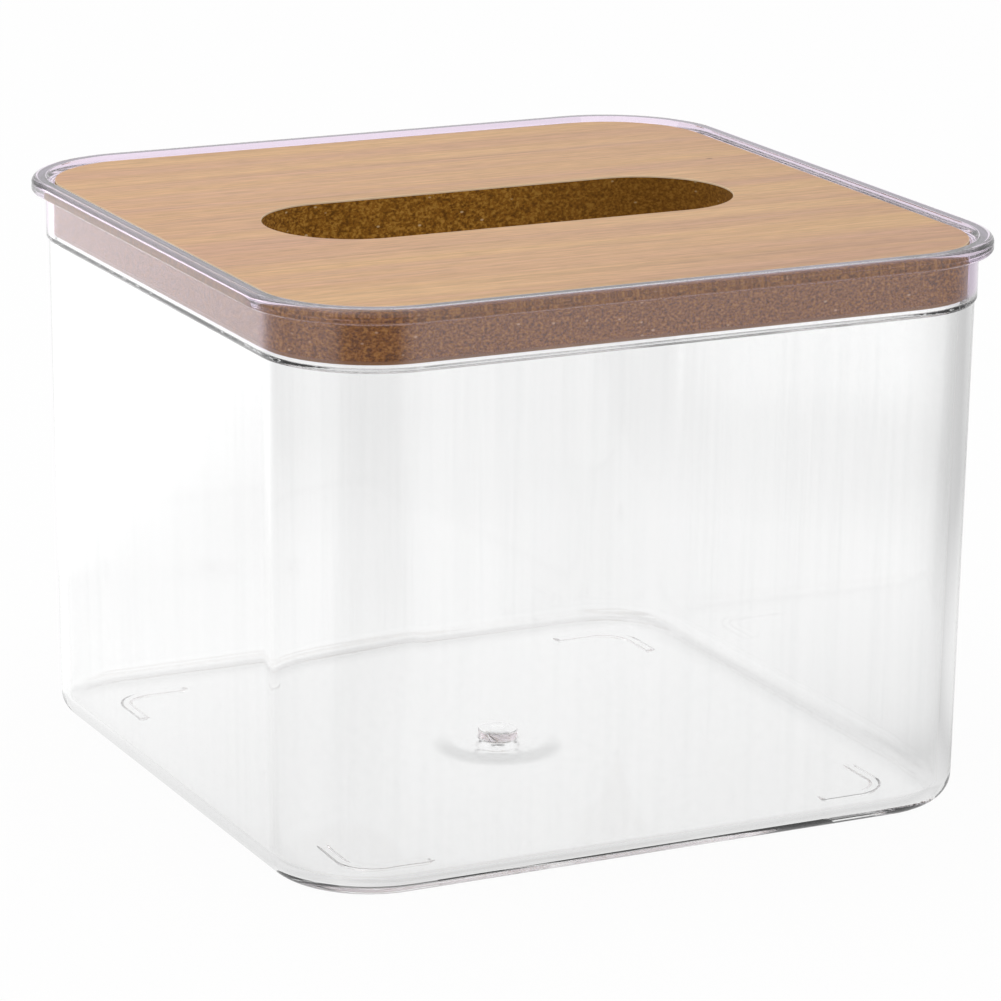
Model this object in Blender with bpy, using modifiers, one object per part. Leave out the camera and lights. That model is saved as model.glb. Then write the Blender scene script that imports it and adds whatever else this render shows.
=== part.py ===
"""Clear counter-top box for folded tissues or paper towels, with a lift-out wood-faced lid.

The box is one clear moulding, a rounded square in plan: filleted base, drafted walls, a ledge,
a straight neck and a flared lip. The lid is a laminated board with one long slot. It drops into
the neck and rests on the ledge. Units are metres, +Z is up, X runs along the slot, the front
faces -Y, and the origin is under the middle of the box, on the surface that it stands on.
"""

import math

import bmesh
import bpy

MM = 0.001

# Lid board
LID_WIDTH = 122.0 * MM
LID_DEPTH = 122.0 * MM
LID_CORNER_RADIUS = 17.1 * MM
LID_THICKNESS = 8.7 * MM
FACE_THICKNESS = 0.3 * MM
BACK_THICKNESS = 0.3 * MM
GLUE_GAP = 0.3 * MM
EDGE_BREAK = 0.25 * MM

# Slot in the lid
SLOT_LENGTH = 84.0 * MM
SLOT_WIDTH = 29.5 * MM

# How the lid sits in the box
LID_CLEARANCE = 0.3 * MM
LID_RECESS = 0.7 * MM
SEAT_GAP = 0.3 * MM

# Box heights
FOOT_HEIGHT = 0.6 * MM
BOX_HEIGHT = 95.4 * MM

# Box walls
NECK_WALL = 1.3 * MM
BODY_WALL = 2.4 * MM
FLOOR = 2.0 * MM
DRAFT = math.radians(0.7)
BASE_FILLET = 4.0 * MM
FLOOR_FILLET = 2.2 * MM

# Step under the neck, where the body is narrower
STEP_DROP = 0.65 * MM
STEP_ROUND = 0.3 * MM
STEP_SHELF = 0.1 * MM

# Lip
LIP_REACH = 2.4 * MM
LIP_HEIGHT = 2.4 * MM
LIP_ROUND = 0.8 * MM
LIP_UNDER_ROUND = 0.7 * MM
LIP_ROOT_ROUND = 0.8 * MM
LEAD_IN = 1.6 * MM
CREST_ROUND = 0.2 * MM

# Foot ribs under the base corners
FOOT_INSET = 12.6 * MM
FOOT_LEG = 12.7 * MM
FOOT_BEND = 5.7 * MM
FOOT_WIDTH = 1.5 * MM

# Gate in the middle of the floor
BOSS_DIAMETER = 6.8 * MM
BOSS_HEIGHT = 1.5 * MM
DOME_DIAMETER = 19.4 * MM
DOME_HEIGHT = 0.4 * MM

# How finely round stretches are cut up
CORNER_STEPS = 14
PROFILE_STEPS = 5
HALF_STEPS = 2
TURN_STEPS = 40

# How far a cutter runs past what it cuts, and how deep a joined form starts inside its carrier
OVERRUN = 2.0 * MM
ROOT = 0.5 * MM

# Heights and half sizes that follow
BASE_Z = FOOT_HEIGHT
RIM_Z = BASE_Z + BOX_HEIGHT
LID_TOP_Z = RIM_Z - LID_RECESS
LID_BOTTOM_Z = LID_TOP_Z - LID_THICKNESS
LEDGE_Z = LID_BOTTOM_Z - SEAT_GAP
LIP_UNDER_Z = RIM_Z - LIP_HEIGHT
STEP_Z = LEDGE_Z - STEP_DROP
STEP_IN = STEP_ROUND + STEP_SHELF
FLOOR_Z = BASE_Z + FLOOR
NECK_OFFSET = LID_CLEARANCE + NECK_WALL
NECK_HALF_X = LID_WIDTH / 2 + NECK_OFFSET
NECK_HALF_Y = LID_DEPTH / 2 + NECK_OFFSET
NECK_CORNER_RADIUS = LID_CORNER_RADIUS + NECK_OFFSET


def body_offset(z):
    """How far the drafted outer wall lies from the neck's outer face at a height."""
    return -STEP_IN - math.tan(DRAFT) * (STEP_Z - z)


def arc(centre_x, centre_z, radius, start, end, steps=PROFILE_STEPS):
    """Points of a circular arc, angles in degrees."""
    points = []
    for i in range(steps + 1):
        angle = math.radians(start + (end - start) * i / steps)
        points.append((centre_x + radius * math.cos(angle), centre_z + radius * math.sin(angle)))
    return points


def rounded_rectangle(half_x, half_y, radius):
    """Outline points of a rounded rectangle, anticlockwise. A full radius makes a stadium."""
    corners = (
        (half_x - radius, half_y - radius, 0),
        (radius - half_x, half_y - radius, 90),
        (radius - half_x, radius - half_y, 180),
        (half_x - radius, radius - half_y, 270),
    )
    points = []
    for x, y, start in corners:
        for point in arc(x, y, radius, start, start + 90, CORNER_STEPS):
            if not points or math.dist(point, points[-1]) > 1e-3 * MM:
                points.append(point)
    if math.dist(points[0], points[-1]) < 1e-3 * MM:
        points.pop()
    return points


def clear_objects():
    for obj in list(bpy.data.objects):
        bpy.data.objects.remove(obj, do_unlink=True)


def new_collection(name):
    collection = bpy.data.collections.new(name)
    bpy.context.scene.collection.children.link(collection)
    return collection


def new_material(name, colour, roughness, transmission=0.0):
    material = bpy.data.materials.new(name)
    material.use_nodes = True
    shader = material.node_tree.nodes["Principled BSDF"]
    shader.inputs["Base Color"].default_value = (*colour, 1.0)
    shader.inputs["Roughness"].default_value = roughness
    shader.inputs["Metallic"].default_value = 0.0
    shader.inputs["Transmission Weight"].default_value = transmission
    material.diffuse_color = (*colour, 1.0)
    return material


def lofted_solid(name, profile, collection):
    """Closed solid through level sections of the box, each an offset of the neck's outline.

    profile holds (offset, height) pairs from the bottom up. A section's corner radius changes
    with its offset, so a wall between two profiles keeps its thickness round the corners.
    """
    mesh_data = bmesh.new()
    rings = []
    for offset, height in profile:
        outline = rounded_rectangle(
            NECK_HALF_X + offset, NECK_HALF_Y + offset, NECK_CORNER_RADIUS + offset
        )
        rings.append([mesh_data.verts.new((x, y, height)) for x, y in outline])
    for lower, upper in zip(rings, rings[1:]):
        for i in range(len(lower)):
            mesh_data.faces.new((lower[i - 1], lower[i], upper[i], upper[i - 1]))
    mesh_data.faces.new(rings[0][::-1])
    mesh_data.faces.new(rings[-1])
    mesh = bpy.data.meshes.new(name)
    mesh_data.to_mesh(mesh)
    mesh_data.free()
    obj = bpy.data.objects.new(name, mesh)
    collection.objects.link(obj)
    return obj


def extruded_outline(name, outlines, bottom_z, top_z, collection):
    """Flat plate between two heights from closed outlines, inner ones being holes."""
    curve = bpy.data.curves.new(name, "CURVE")
    curve.dimensions = "2D"
    curve.fill_mode = "BOTH"
    curve.extrude = (top_z - bottom_z) / 2
    for outline in outlines:
        spline = curve.splines.new("POLY")
        spline.points.add(len(outline) - 1)
        for point, (x, y) in zip(spline.points, outline):
            point.co = (x, y, 0.0, 1.0)
        spline.use_cyclic_u = True
    source = bpy.data.objects.new(name + "_outline", curve)
    source.location.z = (top_z + bottom_z) / 2
    collection.objects.link(source)
    bpy.context.view_layer.update()
    graph = bpy.context.evaluated_depsgraph_get()
    mesh = bpy.data.meshes.new_from_object(source.evaluated_get(graph))
    mesh_data = bmesh.new()
    mesh_data.from_mesh(mesh)
    bmesh.ops.remove_doubles(mesh_data, verts=mesh_data.verts[:], dist=0.01 * MM)
    mesh_data.to_mesh(mesh)
    mesh_data.free()
    mesh.name = name
    obj = bpy.data.objects.new(name, mesh)
    obj.matrix_world = source.matrix_world
    collection.objects.link(obj)
    bpy.data.objects.remove(source, do_unlink=True)
    return obj


def turned_solid(name, profile, collection):
    """Solid of revolution about Z from (radius, height) pairs, running down the outer side."""
    mesh = bpy.data.meshes.new(name)
    edges = [(i, i + 1) for i in range(len(profile) - 1)]
    mesh.from_pydata([(x, 0.0, z) for x, z in profile], edges, [])
    obj = bpy.data.objects.new(name, mesh)
    collection.objects.link(obj)
    screw = obj.modifiers.new("turn", "SCREW")
    screw.steps = TURN_STEPS
    screw.render_steps = TURN_STEPS
    screw.use_merge_vertices = True
    screw.merge_threshold = 1e-6
    return obj


def as_helper(obj):
    obj.hide_render = True
    obj.display_type = "WIRE"
    return obj


def boolean(obj, helper, operation):
    modifier = obj.modifiers.new(helper.name, "BOOLEAN")
    modifier.operation = operation
    modifier.solver = "EXACT"
    modifier.object = as_helper(helper)


def box_outside(collection):
    """Outer form of the moulding: base fillet, drafted body, rounded step, neck, flared lip."""
    base = body_offset(BASE_Z)
    under = LIP_UNDER_ROUND
    profile = arc(base - BASE_FILLET, BASE_Z + BASE_FILLET, BASE_FILLET, -90, 0)
    profile.append((body_offset(STEP_Z), STEP_Z))
    profile += arc(-STEP_ROUND, STEP_Z + STEP_ROUND, STEP_ROUND, -90, 0)
    profile += arc(LIP_ROOT_ROUND, LIP_UNDER_Z - LIP_ROOT_ROUND, LIP_ROOT_ROUND, 180, 90)
    profile += arc(LIP_REACH - under, LIP_UNDER_Z + under, under, -90, 0)
    profile += arc(LIP_REACH - LIP_ROUND, RIM_Z - LIP_ROUND, LIP_ROUND, 0, 90)
    return lofted_solid("clear_box", profile, collection)


def box_cavity(collection):
    """Inside of the moulding: floor fillet, drafted body, ledge, neck, slanted lead-in."""
    floor = body_offset(FLOOR_Z) - BODY_WALL
    turn = CREST_ROUND * math.tan(math.radians(22.5))
    low_x = CREST_ROUND - NECK_WALL
    low_z = RIM_Z - LEAD_IN - turn
    crest_x = LEAD_IN - NECK_WALL + turn
    profile = arc(floor - FLOOR_FILLET, FLOOR_Z + FLOOR_FILLET, FLOOR_FILLET, -90, 0)
    profile.append((body_offset(LEDGE_Z) - BODY_WALL, LEDGE_Z))
    profile.append((-NECK_WALL, LEDGE_Z))
    profile += arc(low_x, low_z, CREST_ROUND, 180, 135, HALF_STEPS)
    profile += arc(crest_x, RIM_Z - CREST_ROUND, CREST_ROUND, 135, 90, HALF_STEPS)
    profile.append((crest_x, RIM_Z + OVERRUN))
    return lofted_solid("cavity", profile, collection)


def foot_outline(side_x, side_y):
    """Rounded L of even width with square ends, its bend towards one corner of the base."""
    base = body_offset(BASE_Z)
    bend_x = NECK_HALF_X + base - FOOT_INSET - FOOT_BEND
    bend_y = NECK_HALF_Y + base - FOOT_INSET - FOOT_BEND
    straight = FOOT_LEG - FOOT_BEND
    outer = FOOT_BEND + FOOT_WIDTH / 2
    inner = FOOT_BEND - FOOT_WIDTH / 2
    outline = arc(bend_x, bend_y, outer, 0, 90, CORNER_STEPS)
    outline += [(bend_x - straight, bend_y + outer), (bend_x - straight, bend_y + inner)]
    outline += arc(bend_x, bend_y, inner, 90, 0, CORNER_STEPS)
    outline += [(bend_x + inner, bend_y - straight), (bend_x + outer, bend_y - straight)]
    return [(side_x * x, side_y * y) for x, y in outline]


def add_feet(box, collection):
    for end, side_y in (("front", -1), ("back", 1)):
        for hand, side_x in (("left", -1), ("right", 1)):
            name = f"foot_{end}_{hand}"
            outline = foot_outline(side_x, side_y)
            foot = extruded_outline(name, [outline], 0.0, BASE_Z + ROOT, collection)
            boolean(box, foot, "UNION")


def dome_radius(diameter, height):
    """Radius of the sphere whose cap has a given width and height."""
    return ((diameter / 2) ** 2 + height**2) / (2 * height)


def add_gate(box, collection):
    """Low dome in the middle of the floor's upper side, with the round boss on it."""
    radius = dome_radius(DOME_DIAMETER, DOME_HEIGHT)
    spread = math.degrees(math.asin(DOME_DIAMETER / 2 / radius))
    boss_z = FLOOR_Z + DOME_HEIGHT + BOSS_HEIGHT
    cap = arc(0.0, DOME_HEIGHT - radius, radius, 90, 90 - spread)
    cap[0] = (0.0, DOME_HEIGHT)
    dome = [(x, FLOOR_Z + z) for x, z in cap]
    dome += [(DOME_DIAMETER / 2, FLOOR_Z - ROOT), (0.0, FLOOR_Z - ROOT)]
    boolean(box, turned_solid("gate_dome", dome, collection), "UNION")
    boss = [(0.0, boss_z), (BOSS_DIAMETER / 2, boss_z)]
    boss += [(BOSS_DIAMETER / 2, FLOOR_Z - ROOT), (0.0, FLOOR_Z - ROOT)]
    boolean(box, turned_solid("gate_boss", boss, collection), "UNION")


def clear_box(parts, cutters):
    box = box_outside(parts)
    boolean(box, box_cavity(cutters), "DIFFERENCE")
    add_gate(box, cutters)
    add_feet(box, cutters)
    box.data.materials.append(new_material("clear_plastic", (0.93, 0.94, 0.95), 0.05, 0.9))
    return box


def slotted_board(name, bottom_z, top_z, material, collection):
    """One layer of the lid: rounded square with the slot through its middle."""
    plate = rounded_rectangle(LID_WIDTH / 2, LID_DEPTH / 2, LID_CORNER_RADIUS)
    slot = rounded_rectangle(SLOT_LENGTH / 2, SLOT_WIDTH / 2, SLOT_WIDTH / 2)
    board = extruded_outline(name, [plate, slot], bottom_z, top_z, collection)
    board.data.materials.append(material)
    return board


def break_edges(board):
    bevel = board.modifiers.new("edge_break", "BEVEL")
    bevel.width = EDGE_BREAK
    bevel.segments = 1
    bevel.limit_method = "ANGLE"
    bevel.angle_limit = math.radians(60)


def lid(parts):
    """The three bonded layers, on one empty that stands for the lid as it lifts."""
    grip = bpy.data.objects.new("lid_lift", None)
    grip.location.z = LID_BOTTOM_Z
    parts.objects.link(grip)
    bpy.context.view_layer.update()
    back_top = LID_BOTTOM_Z + BACK_THICKNESS
    core_bottom = back_top + GLUE_GAP
    face_bottom = LID_TOP_Z - FACE_THICKNESS
    core_top = face_bottom - GLUE_GAP
    board = new_material("fibre_board", (0.40, 0.27, 0.17), 0.85)
    face = new_material("wood_face", (0.66, 0.44, 0.26), 0.45)
    back = new_material("backing_paper", (0.62, 0.45, 0.30), 0.7)
    layers = [
        slotted_board("lid_back_sheet", LID_BOTTOM_Z, back_top, back, parts),
        slotted_board("lid_board", core_bottom, core_top, board, parts),
        slotted_board("lid_face_sheet", face_bottom, LID_TOP_Z, face, parts),
    ]
    break_edges(layers[1])
    for layer in layers:
        layer.parent = grip
        layer.matrix_parent_inverse = grip.matrix_world.inverted()
    return layers


def shade(obj):
    obj.data.shade_smooth()
    obj.data.set_sharp_from_angle(angle=math.radians(30))


def main():
    clear_objects()
    parts = new_collection("tissue_box")
    cutters = new_collection("tissue_box_cutters")
    shade(clear_box(parts, cutters))
    for layer in lid(parts):
        shade(layer)


main()
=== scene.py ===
"""Looks of a clear box for folded tissues, with a wood-faced board that drops into its mouth.

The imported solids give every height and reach. The clear moulding and the three layers of the board
are built again here as fine surfaces, with a finish each, and are then lit and framed as in a plain
studio. Lengths are in metres, +Z is up, X runs along the slot and the front faces -Y. A finish's
name that ends in spots gives a pattern's spots to the metre along X, Y and Z.
"""

import logging
import math
from dataclasses import dataclass
from enum import Enum
from typing import Protocol

import bpy
import numpy as np
from mathutils import Matrix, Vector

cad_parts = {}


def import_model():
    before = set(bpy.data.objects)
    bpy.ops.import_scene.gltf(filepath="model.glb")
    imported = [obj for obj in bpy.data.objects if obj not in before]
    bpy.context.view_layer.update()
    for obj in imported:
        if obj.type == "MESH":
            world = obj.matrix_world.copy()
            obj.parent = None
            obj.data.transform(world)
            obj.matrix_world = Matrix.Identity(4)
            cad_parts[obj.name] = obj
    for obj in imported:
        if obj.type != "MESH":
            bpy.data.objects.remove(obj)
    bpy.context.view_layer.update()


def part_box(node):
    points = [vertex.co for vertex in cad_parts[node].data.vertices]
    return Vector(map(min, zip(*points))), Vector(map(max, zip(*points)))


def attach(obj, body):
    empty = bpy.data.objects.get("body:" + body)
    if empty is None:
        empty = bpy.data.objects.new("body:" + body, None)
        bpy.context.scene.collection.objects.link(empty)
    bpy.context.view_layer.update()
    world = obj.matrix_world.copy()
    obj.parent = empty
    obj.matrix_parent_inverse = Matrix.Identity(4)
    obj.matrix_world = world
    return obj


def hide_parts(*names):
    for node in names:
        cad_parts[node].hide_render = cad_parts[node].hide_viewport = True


MM = 0.001
LOG = logging.getLogger("tissue_box")

Pair = tuple[float, float]
Triple = tuple[float, float, float]
Levels = tuple[Pair, ...]
Socket = bpy.types.NodeSocket


class Body(Enum):
    """The bodies that pieces ride on."""

    BOX = "box"
    LID = "lid"


class Edge(Enum):
    """Which outline of a slotted layer a ring of points follows."""

    SLOT = "slot"
    RIM = "rim"


class Finish(Protocol):
    """Anything that can make the material of a piece."""

    def material(self) -> bpy.types.Material:
        """Makes the material."""


def arc(centre: Pair, radius: float | Pair, start: float, end: float, steps: int) -> np.ndarray:
    """Point k is the centre plus the radius times the cosine and sine of an evenly stepped angle.

    Args:
        centre: Reach and height of the arc's centre.
        radius: Radius of the arc, or its two radii in reach and height.
        start: First angle in degrees.
        end: Last angle in degrees.
        steps: How many chords the arc is cut into.

    Returns:
        Points as rows of reach and height.
    """
    angle = np.radians(np.linspace(start, end, steps + 1))
    return np.array(centre) + np.stack([np.cos(angle), np.sin(angle)], axis=1) * np.array(radius)


def run(start: Pair, end: Pair, steps: int, hold: float) -> np.ndarray:
    """Points of a straight stretch, evenly spaced, with one more close to each end.

    The two close points keep the shading of the stretch flat up to the curve that follows it.

    Args:
        start: Reach and height of the first end.
        end: Reach and height of the last end.
        steps: How many even steps the stretch has.
        hold: Distance of the close points from the ends.

    Returns:
        Points as rows of reach and height, without the ends themselves.
    """
    first, last = np.array(start), np.array(end)
    close = min(hold / float(np.linalg.norm(last - first)), 0.3)
    share = np.concatenate([[close], np.linspace(0.0, 1.0, steps + 1)[1:-1], [1.0 - close]])
    return first + share[:, None] * (last - first)


@dataclass(frozen=True)
class Stations:
    """Where the points of one level ring lie round a rounded rectangle.

    core is a point's place on the square that joins the corner centres, from -1 to 1, and normal its
    outward direction. A ring is core times the corner centre plus normal times the corner radius.
    """

    core: np.ndarray
    normal: np.ndarray

    @classmethod
    def around(cls, side: np.ndarray, turn_steps: int) -> "Stations":
        """One quarter of the ring is laid out, and the other three are that quarter turned by 90 degrees.

        Args:
            side: Places along half a side, rising from 0 and ending below 1.
            turn_steps: Chords in each rounded corner.

        Returns:
            The stations of the whole ring, anticlockwise from the middle of the +X side.
        """
        angle = np.radians(np.linspace(0.0, 90.0, turn_steps + 1))
        back = side[:0:-1]
        core = np.vstack(
            [
                np.stack([np.ones_like(side), side], axis=1),
                np.ones((turn_steps + 1, 2)),
                np.stack([back, np.ones_like(back)], axis=1),
            ]
        )
        normal = np.vstack(
            [
                np.tile([1.0, 0.0], (len(side), 1)),
                np.stack([np.cos(angle), np.sin(angle)], axis=1),
                np.tile([0.0, 1.0], (len(back), 1)),
            ]
        )
        quarter = np.array([[0.0, 1.0], [-1.0, 0.0]])
        turns = [np.linalg.matrix_power(quarter, k) for k in range(4)]
        return cls(np.vstack([core @ t for t in turns]), np.vstack([normal @ t for t in turns]))

    def ring(self, corner: Pair, radius: float) -> np.ndarray:
        """Plan points of the ring with these corner centres and this corner radius."""
        return self.core * np.array(corner) + radius * self.normal


def eased(share: np.ndarray) -> np.ndarray:
    """A share kept from 0 to 1 that starts and ends gently: three times its square less twice its cube."""
    kept = np.clip(share, 0.0, 1.0)
    return kept * kept * (3.0 - 2.0 * kept)


def level_ring(plan: np.ndarray, height: float) -> np.ndarray:
    """The plan points of a ring, all at one height."""
    return np.column_stack([plan, np.full(len(plan), height)])


def skin_object(name: str, points: np.ndarray, faces: list[list[int]]) -> bpy.types.Object:
    """Makes a smooth-shaded mesh object at the origin.

    Args:
        name: Name of the piece.
        points: Its points, one row each.
        faces: Its faces as lists of point numbers, anticlockwise seen from outside.

    Returns:
        The new object, linked to the scene.
    """
    mesh = bpy.data.meshes.new(name)
    mesh.from_pydata(points.tolist(), [], faces)
    mesh.validate()
    mesh.shade_smooth()
    piece = bpy.data.objects.new(name, mesh)
    bpy.context.scene.collection.objects.link(piece)
    return piece


def ring_faces(rings: int, stations: int, closed: bool) -> np.ndarray:
    """Quads between neighbouring rings: point i of ring k has number k times stations plus i.

    Args:
        rings: How many rings there are.
        stations: How many points each ring has.
        closed: True where the last ring joins the first.

    Returns:
        The quads, one row of four point numbers each.
    """
    k = np.arange(rings if closed else rings - 1)[:, None]
    i = np.arange(stations)[None, :]
    here, there = k * stations, (k + 1) % rings * stations
    following = (i + 1) % stations
    return np.stack([here + i, there + i, there + following, here + following], axis=-1).reshape(-1, 4)


@dataclass
class Moulding:
    """The clear box: one skin that runs from the middle of its floor over the lip to its underside."""

    reach: float
    rim_z: float
    board_z: float
    seat_gap: float = 0.4 * MM
    lip_reach: float = 2.4 * MM
    lip_height: float = 2.4 * MM
    lip_round: float = 1.0 * MM
    lip_under_round: float = 0.45 * MM
    lip_root_round: float = 0.8 * MM
    neck_wall: float = 1.3 * MM
    body_wall: float = 2.4 * MM
    lead_in: float = 1.2 * MM
    crest_round: float = 0.2 * MM
    corner_radius: float = 18.7 * MM
    step_in: float = 0.4 * MM
    step_drop: float = 0.55 * MM
    step_round: float = 0.3 * MM
    step_rise: float = 0.3 * MM
    step_root: float = 0.08 * MM
    draft: float = math.radians(0.7)
    foot_height: float = 0.6 * MM
    floor: float = 2.0 * MM
    base_fillet: float = 4.0 * MM
    floor_fillet: float = 2.2 * MM
    rib_inset: float = 12.6 * MM
    rib_leg: float = 12.7 * MM
    rib_bend: float = 5.7 * MM
    rib_width: float = 1.5 * MM
    rib_edge: float = 0.35 * MM
    boss_radius: float = 3.4 * MM
    boss_height: float = 1.5 * MM
    boss_round: float = 0.3 * MM
    dimple_depth: float = 0.12 * MM
    dome_radius: float = 9.7 * MM
    dome_height: float = 0.4 * MM
    ledge_fall: float = 0.95 * MM
    ledge_round: float = 0.3 * MM
    crease: float = 0.12 * MM
    hold: float = 0.2 * MM

    def __post_init__(self) -> None:
        """Lays out the stations, close together where the foot ribs end."""
        side = np.concatenate(
            [
                np.linspace(0.0, 0.8, 9)[:-1],
                np.linspace(0.8, 0.9, 15)[:-1],
                np.linspace(0.9, 1.0, 5)[:-1],
            ]
        )
        self.stations = Stations.around(side, 20)
        self.neck_half = self.reach - self.lip_reach
        self.corner = self.neck_half - self.corner_radius
        self.base_z = self.foot_height
        self.floor_z = self.base_z + self.floor
        self.ledge_z = self.board_z - self.seat_gap
        self.step_z = self.ledge_z - self.step_drop

    def wall_offset(self, height: float) -> float:
        """How far the drafted outer wall lies from the neck's outer face at a height."""
        return -self.step_in - math.tan(self.draft) * (self.step_z - height)

    def inner_profile(self) -> np.ndarray:
        """Reach and height from the floor's fillet up the inner wall, over the slanted ledge to the rim.

        The ledge rises outwards to the neck. Its rounded inner edge and its root are arcs whose ends
        lie the radius times the tangent of half their turn away from the sharp corners.

        Returns:
            Points as rows of reach and height.
        """
        floor = self.wall_offset(self.floor_z) - self.body_wall
        fillet_z = self.floor_z + self.floor_fillet
        neck = -self.neck_wall
        low = self.ledge_z - self.ledge_fall
        inner = self.wall_offset(low) - self.body_wall
        slant = math.degrees(math.atan2(self.ledge_fall, neck - inner))
        turn = math.tan(math.radians(45.0 - slant / 2))
        r, c = self.ledge_round, self.crease
        edge = arc((inner + r, low - turn * r), r, 180, 90 + slant, 5)
        root = arc((neck - c, self.ledge_z + turn * c), c, slant - 90, 0, 3)
        return np.vstack(
            [
                arc((floor - self.floor_fillet, fillet_z), self.floor_fillet, -90, 0, 10),
                run((floor, fillet_z), tuple(edge[0]), 10, self.hold),
                edge,
                run(tuple(edge[-1]), tuple(root[0]), 2, self.hold),
                root,
                *self.mouth(neck, root[-1][1]),
            ]
        )

    def mouth(self, neck: float, low: float) -> list[np.ndarray]:
        """Stretches of the profile up the neck and over the slanted lead-in to the rim.

        Args:
            neck: Reach of the neck's inner face.
            low: Height at which that face starts.

        Returns:
            The stretches in order, each as rows of reach and height.
        """
        e = self.crest_round
        turn = math.tan(math.radians(22.5)) * e
        foot = arc((neck + e, self.rim_z - self.lead_in - turn), e, 180, 135, 3)
        crest = arc((neck + self.lead_in + turn, self.rim_z - e), e, 135, 90, 3)
        return [
            run((neck, low), tuple(foot[0]), 4, self.hold),
            foot,
            run(tuple(foot[-1]), tuple(crest[0]), 3, 0.5 * self.hold),
            crest,
        ]

    def outer_profile(self) -> np.ndarray:
        """Reach and height from the rim round the lip, down the neck, over the step to the base.

        Returns:
            Points as rows of reach and height.
        """
        under = self.rim_z - self.lip_height
        crest = self.lead_in - self.neck_wall + math.tan(math.radians(22.5)) * self.crest_round
        top, low = self.lip_round, self.lip_under_round
        root = self.lip_root_round
        base = self.wall_offset(self.base_z)
        c, fillet = self.step_root, self.base_fillet
        turn, rise = self.step_round, self.step_rise
        wall = self.wall_offset(self.step_z)
        return np.vstack(
            [
                run((crest, self.rim_z), (self.lip_reach - top, self.rim_z), 2, 0.5 * self.hold),
                arc((self.lip_reach - top, self.rim_z - top), top, 90, 0, 8),
                run((self.lip_reach, self.rim_z - top), (self.lip_reach, under + low), 2, self.hold),
                arc((self.lip_reach - low, under + low), low, 0, -90, 5),
                run((self.lip_reach - low, under), (root, under), 2, self.hold),
                arc((root, under - root), root, 90, 180, 5),
                run((0.0, under - root), (0.0, self.step_z + rise), 4, self.hold),
                arc((-turn, self.step_z + rise), (turn, rise), 0, -90, 8),
                arc((wall + c, self.step_z - c), c, 90, 180, 2),
                run((wall, self.step_z - c), (base, self.base_z + fillet), 10, self.hold),
                arc((base - fillet, self.base_z + fillet), fillet, 0, -90, 14),
            ]
        )

    def wall_rings(self, profile: np.ndarray) -> np.ndarray:
        """A level ring at each profile point: the neck's outline offset by the point's reach.

        Args:
            profile: Points as rows of reach and height.

        Returns:
            The points of the rings, one array of stations for each profile point.
        """
        corner = (self.corner, self.corner)
        plans = [self.stations.ring(corner, self.corner_radius + reach) for reach in profile[:, 0]]
        return np.array([level_ring(plan, height) for plan, height in zip(plans, profile[:, 1])])

    def floor_plan(self, half: float, from_inset: float) -> np.ndarray:
        """Plan rings of the floor, from the wall's fillet to the middle, that end as circles.

        The corner radius shrinks with the ring, to the ribs' own radius where they lie. Inside the
        ribs a ring is a share of that rounded square plus the rest of a circle, which takes over.

        Args:
            half: Half the width of the base at this surface.
            from_inset: Inset of the first ring.

        Returns:
            Plan points, one array of stations for each ring.
        """
        bend_half = half - self.rib_inset
        zone = 2.2 * self.rib_width
        circle_from = 1.25 * self.dome_radius
        insets = np.concatenate(
            [
                np.linspace(from_inset, self.rib_inset - zone / 2, 6)[:-1],
                np.linspace(self.rib_inset - zone / 2, self.rib_inset + zone / 2, 34),
            ]
        )
        halves = np.concatenate([half - insets, np.linspace(half - insets[-1], circle_from, 10)[1:]])
        edge_radius = self.corner_radius + half - self.neck_half - from_inset
        slope = (edge_radius - self.rib_bend) / (self.rib_inset - from_inset)
        outside = self.rib_bend + slope * (halves - bend_half)
        radii = np.where(halves > bend_half, outside, self.rib_bend * halves / bend_half)
        unit = self.stations.ring((half - edge_radius, half - edge_radius), edge_radius)
        unit = unit / np.linalg.norm(unit, axis=1)[:, None]
        inner = bend_half - zone
        share = eased((inner - halves) / (inner - circle_from))
        square = np.array([self.stations.ring((h - r, h - r), r) for h, r in zip(halves, radii)])
        circle = halves[:, None, None] * unit
        fine = np.concatenate(
            [
                np.linspace(circle_from, self.dome_radius, 4)[1:],
                np.linspace(self.dome_radius, self.boss_radius + 0.6 * MM, 10)[1:],
            ]
        )
        outer = square + share[:, None, None] * (circle - square)
        return np.concatenate([outer, fine[:, None, None] * unit])

    def dome(self, radius: np.ndarray) -> np.ndarray:
        """Height of the shallow round rise: a cosine bell that dies out at its rim."""
        share = np.clip(radius / self.dome_radius, 0.0, 1.0)
        return self.dome_height * (0.5 + 0.5 * np.cos(math.pi * share))

    def rib_depth(self, plan: np.ndarray) -> np.ndarray:
        """Depth of the foot ribs: full within the rib, easing to nothing over its edge.

        The way to the rib's middle line is the least of that to the bend's arc and to its two legs. A
        leg ends square: past its end the way is that to the end plus half the rib's width.

        Args:
            plan: Plan points, any shape ending in two coordinates.

        Returns:
            The depth under each point.
        """
        x, y = np.abs(plan[..., 0]), np.abs(plan[..., 1])
        base_half = self.neck_half + self.wall_offset(self.base_z)
        bend = base_half - self.rib_inset - self.rib_bend
        leg = self.rib_leg - self.rib_bend
        bent = np.where((x > bend) & (y > bend), np.abs(np.hypot(x - bend, y - bend) - self.rib_bend), 1.0)
        across = [np.abs(v - bend - self.rib_bend) for v in (x, y)]
        past = [np.where(v > bend, 1.0, bend - leg - v + self.rib_width / 2) for v in (y, x)]
        legs = [np.maximum(a, p) for a, p in zip(across, past)]
        way = np.minimum(bent, np.minimum(legs[0], legs[1]))
        return self.foot_height * eased((self.rib_width / 2 + self.rib_edge / 2 - way) / self.rib_edge)

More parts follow.
